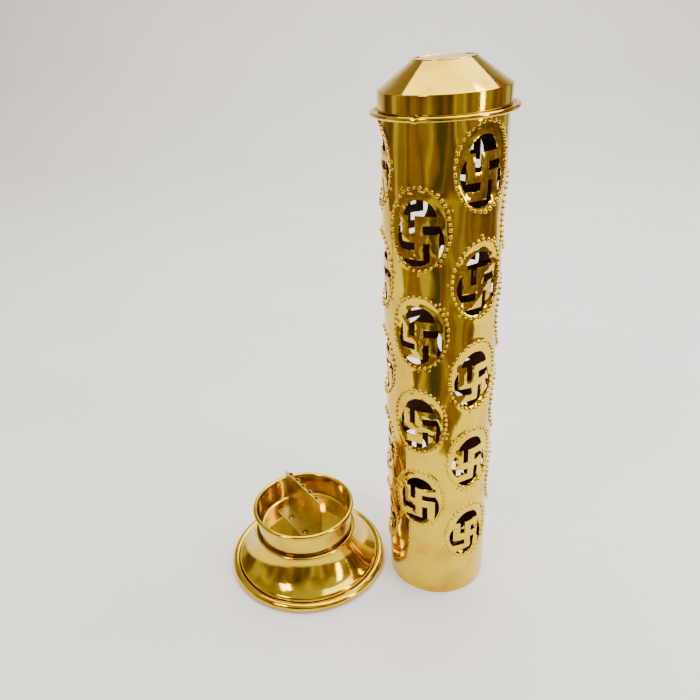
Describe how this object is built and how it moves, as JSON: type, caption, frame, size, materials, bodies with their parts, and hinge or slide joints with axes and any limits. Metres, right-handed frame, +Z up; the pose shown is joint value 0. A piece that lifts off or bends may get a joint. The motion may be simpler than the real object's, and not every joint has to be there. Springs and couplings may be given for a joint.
{
  "type": "incense stick tower with lift-off cover",
  "caption": "Spun bell foot with a cup and a corrugated stick holder, and a pierced tube cover with a slip-on cap standing beside it.",
  "frame": {"origin": "on the table under the foot, at the middle of the ring that the foot stands on", "axes": "+Z up; +X from the foot towards the cover standing beside it; +Y completes the right-handed frame"},
  "size_m": [0.1669, 0.1002, 0.2941],
  "materials": {
    "spun_brass": "spun and mirror polished",
    "holder_brass": "rolled sheet, lightly polished",
    "rivet_brass": "hammered, dull",
    "pierced_brass": "rolled, pierced and beaded sheet, polished outside"
  },
  "bodies": {
    "base": {"foot_shell": "spun_brass", "cup": "spun_brass", "stick_plate": "holder_brass", "stick_strip": "holder_brass", "rivet_front": "rivet_brass", "rivet_rear": "rivet_brass"},
    "cover": {"tower_tube": "pierced_brass"},
    "lid": {"cap": "spun_brass"}
  },
  "joints": [
    {"name": "tower_carry", "type": "slide", "parent": "base", "child": "cover", "axis": [-0.4208, 0, 0.9071], "range_m": [0, 0.19842]},
    {"name": "cap_lift", "type": "slide", "parent": "cover", "child": "lid", "axis": [0, 0, 1], "range_m": [0, 0.05]}
  ]
}
